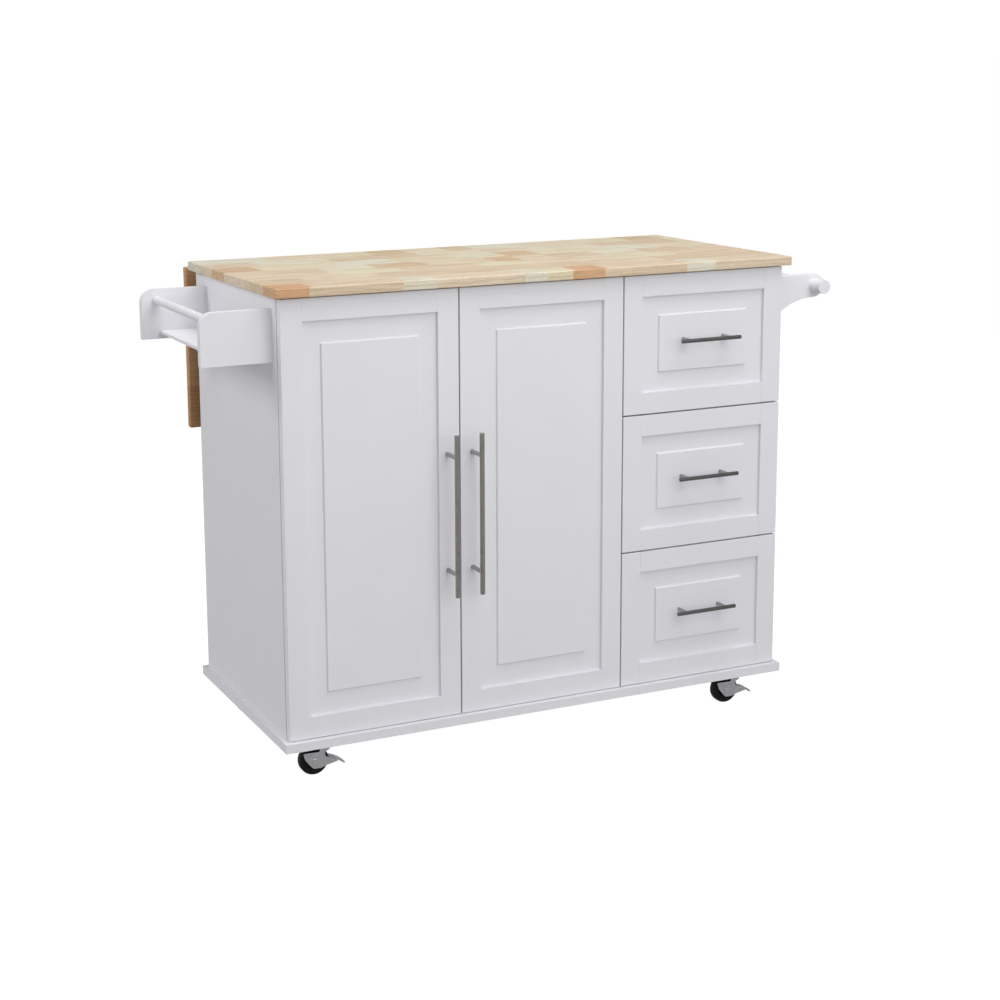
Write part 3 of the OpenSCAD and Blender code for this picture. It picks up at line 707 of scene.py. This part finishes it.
HINGE_PLACES = (-400 * MM, 0, 400 * MM)
STAY_PLACES = (-300 * MM, 300 * MM)
PRESSED_SHEET = 2 * MM
BACK_SCREW_INSET = 10 * MM


def screw(mesh, place, axis, radius):
    """Adds a pan-head screw with a cross recess, standing on a face whose normal is axis."""
    axis = Vector(axis)
    height = 0.55 * radius
    side_of_head = [(radius, -0.3 * MM), (radius, 0.35 * height)]
    dome = [(0.93 * radius, 0.7 * height), (0.75 * radius, height)]
    rings = lathe(mesh, side_of_head + dome, place, axis, 24)
    mesh.faces.new(rings[0])
    side = axis.orthogonal().normalized()
    up = axis.cross(side)
    wide, long = 0.14 * radius, 0.58 * radius
    arm = [(wide, wide), (long, wide), (long, -wide)]
    cross = []
    for _ in range(4):
        cross += arm
        arm = [(v, -u) for u, v in arm]
    mouth, floor = ([mesh.verts.new(Vector(place) + axis * level + side * u + up * v) for u, v in cross]
                    for level in (height, 0.3 * height))
    mouth_edges = [mesh.edges.new((a, b)) for a, b in zip(mouth, mouth[1:] + mouth[:1])]
    rim_edges = [mesh.edges.get((a, b)) for a, b in zip(rings[-1], rings[-1][1:] + rings[-1][:1])]
    edges = mouth_edges + rim_edges
    bmesh.ops.triangle_fill(mesh, use_beauty=True, use_dissolve=False, edges=edges, normal=axis)
    skirt(mesh, mouth, floor)
    mesh.faces.new(floor)


def screws(name, places, axis, mat, body, radius=3.6 * MM):
    """A piece made of screws at several places, all along one axis."""
    mesh = bmesh.new()
    for place in places:
        screw(mesh, place, axis, radius)
    return piece_of(name, mesh, mat, body)


def grid(xs, ys, zs):
    """All places that take their coordinates from three lists."""
    return [(x, y, z) for x in xs for y in ys for z in zs]


def spread(centres, *offsets):
    """Each centre moved by each offset in millimetres."""
    return [centre + offset * MM for centre in centres for offset in offsets]


def make_leaf_screws(mat):
    """Screws in the leaf's hinges, and in its stays' mounts and catches."""
    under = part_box("tabletop")[0].z - PRESSED_SHEET
    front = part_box("leaf_hinge_plates")[0].y
    places = grid(spread(HINGE_PLACES, -26, 0, 26), [front + 5 * MM], [under])
    screws("leaf_hinge_plate_screws", places, (0, 0, -1), mat, "cabinet", 2.6 * MM)

    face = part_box("leaf_board")[0].y - PRESSED_SHEET
    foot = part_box("leaf_hinge_flaps")[0].z
    places = grid(spread(HINGE_PLACES, -27, 27), [face], [foot + 9 * MM])
    places += grid(spread(HINGE_PLACES, -14, 14), [face], [foot + 24 * MM])
    screws("leaf_hinge_flap_screws", places, (0, -1, 0), mat, "leaf", 3.2 * MM)

    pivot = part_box("leaf_stay_left")[1].z - 7 * MM
    places = grid(spread(STAY_PLACES, -7, 8.5), [face], spread([pivot], -11, 11))
    screws("leaf_stay_mount_screws", places, (0, -1, 0), mat, "leaf", 2.4 * MM)

    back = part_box("back_panel")[1].y
    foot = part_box("leaf_stay_catches")[0].z
    places = grid(spread(STAY_PLACES, -4, 14), [back + PRESSED_SHEET], [foot + 9 * MM])
    screws("leaf_stay_catch_screws", places, (0, 1, 0), mat, "cabinet", 3.2 * MM)


def make_door_hinge_screws(mat):
    """Screws in the flanges of the doors' hinge cups and in the arms on the cabinet."""
    for side in SIDES:
        low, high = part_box("door_" + side + "_hinge_cups")
        cups = (low.z + 26 * MM, high.z - 26 * MM)
        places = grid([(low.x + high.x) / 2], [high.y], spread(cups, -22, 22))
        screws("door_" + side + "_hinge_cup_screws", places, (0, 1, 0), mat, "door_" + side, 2.8 * MM)
    low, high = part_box("door_hinge_arms")
    arms = (low.z + 24 * MM, high.z - 24 * MM)
    for side, x, way in (("left", low.x + 3 * MM, 1), ("right", high.x - 3 * MM, -1)):
        places = grid([x], [low.y + 29 * MM], spread(arms, -17, 17))
        screws("hinge_arm_screws_" + side, places, (way, 0, 0), mat, "cabinet", 3.2 * MM)


def make_back_screws(mat):
    """Screws round the edge of the back panel."""
    low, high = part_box("back_panel")
    left, right = low.x + BACK_SCREW_INSET, high.x - BACK_SCREW_INSET
    across = [left + (right - left) * k / 6 for k in range(7)]
    up = [low.z + (high.z - low.z) * k / 4 for k in (1, 2, 3)]
    places = grid(across, [high.y], (low.z + BACK_SCREW_INSET, high.z - 2 * BACK_SCREW_INSET))
    places += grid((left, right), [high.y], up)
    screws("back_panel_screws", places, (0, 1, 0), mat, "cabinet", 3.0 * MM)


# --- finger-jointed boards ---

# Rows of staves from front to back. Each has its share of the width and its blocks' lengths and tones.
# The blocks start at the left edge and come again after the last one.
STAVE_ROWS = (
    (65, ((70, RED), (183, TAN - 0.12), (67, PALE), (183, ROSY), (47, PALE), (55, STRAW))),
    (75, ((96, TAN), (150, STRAW + 0.2), (128, TAN - 0.05), (110, ROSY + 0.1), (121, TAN - 0.1))),
    (72, ((178, ROSY), (142, STRAW), (160, ROSY + 0.1), (125, STRAW))),
    (75, ((74, ROSY), (112, TAN - 0.1), (104, PALE + 0.1), (112, TAN), (142, ROSY), (61, TAN + 0.08))),
    (76, ((78, RED - 0.12), (166, STRAW), (124, PALE), (147, ROSY - 0.1), (90, PALE + 0.1))),
    (76, ((100, ROSY), (160, PALE + 0.1), (92, TAN - 0.12), (108, ROSY + 0.12), (145, STRAW))),
    (81, ((150, PALE), (112, ROSY - 0.1), (116, STRAW), (78, RED - 0.15), (92, STRAW), (57, TAN))),
)
# The leaf's rows, from the hinge down. The first block of each row, at the leaf's left end, is dark red or
# brown: partly the staves' own colour and partly painted shade for the shadow that end lies in beside the
# cabinet.
LEAF_ROWS = (
    (80, ((46, RED + 0.1), (120, STRAW), (150, ROSY), (104, PALE + 0.1), (128, TAN - 0.1), (96, STRAW),
          (142, ROSY), (118, TAN), (86, PALE + 0.1), (134, STRAW))),
    (84, ((62, RED + 0.08), (138, ROSY), (110, STRAW), (112, TAN - 0.1), (120, ROSY), (148, STRAW),
          (74, RED - 0.15), (126, ROSY), (98, STRAW), (130, TAN - 0.1))),
    (82, ((40, RED + 0.12), (146, ROSY - 0.1), (90, TAN), (125, STRAW), (138, ROSY), (84, PALE + 0.1),
          (152, TAN - 0.05), (108, STRAW), (122, ROSY), (120, TAN - 0.1))),
    (86, ((56, BROWN), (152, STRAW), (118, ROSY), (96, TAN), (116, STRAW), (136, ROSY),
          (90, TAN + 0.05), (144, STRAW), (112, ROSY), (98, RED - 0.15))),
)
FINGER_LENGTH = 9 * MM
FINGER_PITCH = 6 * MM
SHORTEST_STAVE = 30 * MM
TONE_SPREAD = 0.04
# How far each stave's grain is moved: along it, across it and away from the pith
SHIFT_ALONG = 3
SHIFT_ACROSS = 0.16
PITH_DISTANCE = (0.05, 0.2)
TINY = 1e-9


def stave_rows(length, depth, rows, seed):
    """The board's rows as (low edge, high edge, [(start, tone)...]), from its front left corner."""
    chance = random.Random(seed)
    scale = depth / sum(width for width, blocks in rows)
    low = 0
    laid = []
    for width, blocks in rows:
        starts = []
        at = 0
        while at < length - SHORTEST_STAVE:
            for block, tone in blocks:
                if at < length - SHORTEST_STAVE:
                    varied = tone + chance.uniform(-TONE_SPREAD, TONE_SPREAD)
                    starts.append((at, min(1, max(0, varied))))
                at += block * MM
        laid.append((low, low + width * scale, starts))
        low += width * scale
    return laid


def joint_line(at, low, high):
    """The zigzag of one finger joint across a row."""
    fingers = max(2, round((high - low) / FINGER_PITCH))
    reach = FINGER_LENGTH / 2
    return [(at + (reach if k % 2 else -reach), low + (high - low) * k / fingers) for k in range(fingers + 1)]


def lay_staves(length, depth, rows, seed):
    """The staves as (low edge, high edge, left joint, right joint, tone)."""
    staves = []
    for low, high, starts in stave_rows(length, depth, rows, seed):
        joints = [[(0, low), (0, high)]]
        joints += [joint_line(at, low, high) for at, tone in starts[1:]]
        joints.append([(length, low), (length, high)])
        for left, right, (at, tone) in zip(joints, joints[1:], starts):
            staves.append((low, high, left, right, tone))
    return staves


def stave_board(length, depth, thickness, rows, seed, to_frame):
    """The closed mesh of a board of finger-jointed staves. to_frame turns (along, across, up) into a place.

    Every stave's faces carry its tone, and a shift that gives it grain of its own.
    """
    chance = random.Random(seed + 1)
    staves = lay_staves(length, depth, rows, seed)
    mesh = bmesh.new()
    tone_layer = mesh.faces.layers.float.new("stave_tone")
    shift_layer = mesh.faces.layers.float_vector.new("stave_shift")
    corners = {}

    def on_line(level, x0, x1):
        """The corners of all staves that lie on a row's edge between two places."""
        ends = [side[k] for stave in staves for side in stave[2:4] for k in (0, -1)]
        found = {x for x, y in ends if abs(y - level) < TINY}
        return [(x, level) for x in sorted(found) if x0 + TINY < x < x1 - TINY]

    def corner(point, up):
        """The one vertex at a point of the plan, at a height."""
        key = (round(point[0], 7), round(point[1], 7), up)
        if key not in corners:
            corners[key] = mesh.verts.new(to_frame(point[0], point[1], up))
        return corners[key]

    for low, high, left, right, tone in staves:
        front = on_line(low, left[0][0], right[0][0])
        back = on_line(high, left[-1][0], right[-1][0])
        outline = left[:1] + front + right + back[::-1] + left[:0:-1]
        along = chance.uniform(-SHIFT_ALONG, SHIFT_ALONG)
        across = chance.uniform(-SHIFT_ACROSS, SHIFT_ACROSS)
        away = chance.choice((-1, 1)) * chance.uniform(*PITH_DISTANCE)
        made = [mesh.faces.new([corner(p, thickness) for p in outline])]
        made.append(mesh.faces.new([corner(p, 0) for p in reversed(outline)]))
        for p, q in zip(outline, outline[1:] + outline[:1]):
            for axis, edge in ((0, 0), (0, length), (1, 0), (1, depth)):
                if abs(p[axis] - edge) < TINY and abs(q[axis] - edge) < TINY:
                    ring = [corner(p, 0), corner(q, 0), corner(q, thickness), corner(p, thickness)]
                    made.append(mesh.faces.new(ring))
        for face in made:
            face[tone_layer] = tone
            face[shift_layer] = (along, across, away)
    return mesh


def make_tabletop(mat):
    """The top, whose rows run from the front edge back."""
    low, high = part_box("tabletop")
    size = high - low
    mesh = stave_board(size.x, size.y, size.z, STAVE_ROWS, 11,
                       lambda along, across, up: (low.x + along, low.y + across, low.z + up))
    piece = piece_of("tabletop_staves", mesh, mat, "cabinet", 2.2 * MM, 4, 40)
    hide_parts("tabletop")


def make_leaf(mat):
    """The leaf is the same board hung on edge: its rows run down from the hinge."""
    low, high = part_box("leaf_board")
    size = high - low
    mesh = stave_board(size.x, size.z, size.y, LEAF_ROWS, 29,
                       lambda along, across, up: (low.x + along, low.y + up, high.z - across))
    piece = piece_of("leaf_staves", mesh, mat, "leaf", 2.2 * MM, 4, 40)
    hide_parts("leaf_board")


# --- the whole ---

bpy.context.scene.view_settings.view_transform = "Standard"
make_camera()
make_world()
make_floor()
softbox("key", (0.4, -4.4, 2.6), 3.6, 84)
softbox("left_fill", (-5.2, 0.8, 3.9), 2.6, 118)
softbox("overhead", (0.25, -0.8, 3.2), 2.2, 52)

paint = painted_board("satin_white_paint", (0.805, 0.805, 0.84), (0.795, 0.795, 0.83), 0.48)
foil = painted_board("drawer_foil", (0.78, 0.78, 0.77), (0.76, 0.76, 0.75), 0.55)
wood = rubberwood()
# Brushed lines run the way the scale is low: up the doors' bars, along the drawers', out along the posts.
nickel = brushed_metal("brushed_nickel", (0.40, 0.37, 0.335), 0.3, (3200, 3200, 60))
# The drawers' bars take a much darker copy of the same brushed nickel: painted shade, standing in for the
# dark reflections along those bars.
dim_shaded_nickel = brushed_metal("brushed_nickel_dimmed_for_shade", (0.17, 0.165, 0.16), 0.32, (60, 3200, 3200))
nickel_posts = brushed_metal("satin_nickel", (0.42, 0.415, 0.42), 0.36, (900, 60, 900))
zinc = zinc_plate("zinc_plate", (0.62, 0.62, 0.64), 0.36)
black = moulded_black()

# The radius of a painted board's edges, by the last word of its name
PAINTED_EASE = {"left": 0.5 * MM, "right": 0.5 * MM, "frame": 1.2 * MM, "panel": 0.8 * MM}
OTHER_EASE = 1.5 * MM
for row in frame["record"]["subparts"]:
    name, slot = row["node"], row["material_slot"]
    if slot == "white_paint":
        dress(name, paint, PAINTED_EASE.get(name.split("_")[-1], OTHER_EASE))
    elif slot == "drawer_board":
        dress(name, foil, 0.6 * MM)
    elif slot == "brushed_nickel":
        # The drawers' handles get the darker nickel copy, whose colour is painted shade.
        dress(name, nickel if name.startswith("door") else dim_shaded_nickel, 0.5 * MM, 2)
    elif slot == "zinc_steel":
        dress(name, zinc, 0.3 * MM, 2)
    elif slot == "black_wheel":
        dress(name, black)

make_tabletop(wood)
make_leaf(wood)
make_brackets(paint)
for corner in CORNERS:
    make_wheel(corner, black)
    make_fork(corner, zinc)
for side in SIDES:
    make_pedal(side, zinc)
make_caster_plates(zinc)
make_leaf_screws(zinc)
make_door_hinge_screws(zinc)
make_back_screws(zinc)

ALONG_X, ALONG_Z = 0, 2
for body in ("door_left", "door_right"):
    make_panel(body + "_panel", body, paint)
    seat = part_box("door_left_frame")[0].y
    make_handle(body + "_handle", body, nickel, nickel_posts, ALONG_Z, 226 * MM, 9.5 * MM, seat)
for body in ("drawer_top", "drawer_middle", "drawer_bottom"):
    make_panel(body + "_panel", body, paint)
    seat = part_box(body + "_panel")[0].y
    make_handle(body + "_handle", body, dim_shaded_nickel, nickel_posts, ALONG_X, 92 * MM, 8 * MM, seat)
